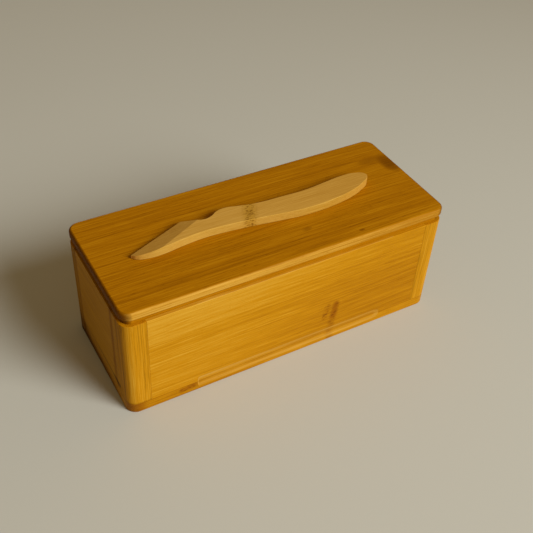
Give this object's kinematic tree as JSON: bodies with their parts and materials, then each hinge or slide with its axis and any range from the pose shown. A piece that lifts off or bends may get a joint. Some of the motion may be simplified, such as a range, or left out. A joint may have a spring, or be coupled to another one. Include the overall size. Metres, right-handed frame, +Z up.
{
  "type": "butter box",
  "caption": "Long bamboo butter box with a lift-off lid, finger grooves above its base, and a bamboo butter knife lying on the lid.",
  "frame": {"origin": "under the middle of the base, on the surface that the box stands on", "axes": "+X along the box, -Y towards the front, +Z up"},
  "size_m": [0.2, 0.0794, 0.0799],
  "materials": {
    "panel_bamboo": "satin oiled bamboo",
    "post_bamboo": "satin oiled bamboo, upright grain",
    "base_bamboo": "satin oiled bamboo",
    "lid_bamboo": "satin oiled bamboo, darker",
    "knife_bamboo": "pale raw bamboo, matt"
  },
  "bodies": {
    "box": {"base_board": "base_bamboo", "front_panel": "panel_bamboo", "back_panel": "panel_bamboo", "left_end_panel": "panel_bamboo", "right_end_panel": "panel_bamboo", "front_left_post": "post_bamboo", "front_right_post": "post_bamboo", "back_left_post": "post_bamboo", "back_right_post": "post_bamboo"},
    "lid": {"lid_board": "lid_bamboo", "lid_locating_panel": "panel_bamboo"},
    "knife": {"butter_knife": "knife_bamboo"}
  },
  "joints": [
    {"name": "lid_lift", "type": "slide", "parent": "box", "child": "lid", "axis": [0, 0, 1], "range_m": [0, 0.08]},
    {"name": "knife_lift", "type": "slide", "parent": "lid", "child": "knife", "axis": [0, 0, 1], "range_m": [0, 0.05]}
  ]
}
